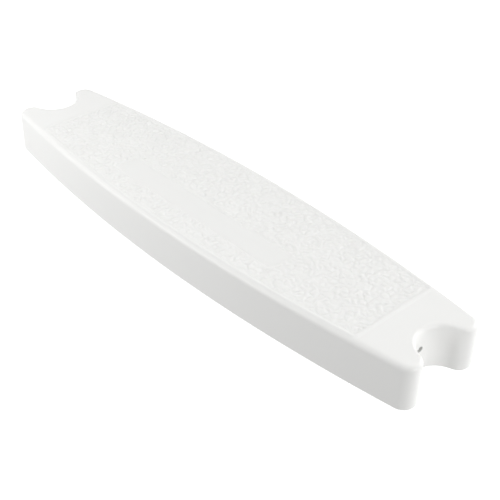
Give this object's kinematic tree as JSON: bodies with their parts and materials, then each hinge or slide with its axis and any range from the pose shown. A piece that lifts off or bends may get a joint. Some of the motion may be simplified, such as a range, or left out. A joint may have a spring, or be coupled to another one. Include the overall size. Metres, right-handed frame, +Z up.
{
  "type": "pool ladder tread",
  "caption": "White moulded pool ladder tread with a pebbled anti-slip deck, bowed skirts, a ribbed underside and half-round saddles at both ends that bolt to tubular rails.",
  "frame": {"origin": "centre of the tread on plan, at the level of its lower rim", "axes": "+X along the tread towards the right-hand rail, +Y from front to rear, +Z up"},
  "size_m": [0.5036, 0.122, 0.0405],
  "materials": {
    "shell": "satin moulded white",
    "grip": "pebbled moulded white",
    "plate": "smooth moulded white",
    "ribs": "plain moulded white",
    "nut": "stainless, machined"
  },
  "bodies": {
    "root": {"deck": "shell", "front_skirt": "shell", "rear_skirt": "shell", "saddle_left": "shell", "saddle_right": "shell", "centre_rib": "ribs", "cross_ribs": "ribs", "bolt_boss_left": "ribs", "bolt_boss_right": "ribs", "grip_panel": "grip", "name_plate": "plate", "nut_left": "nut", "nut_right": "nut"}
  },
  "joints": []
}
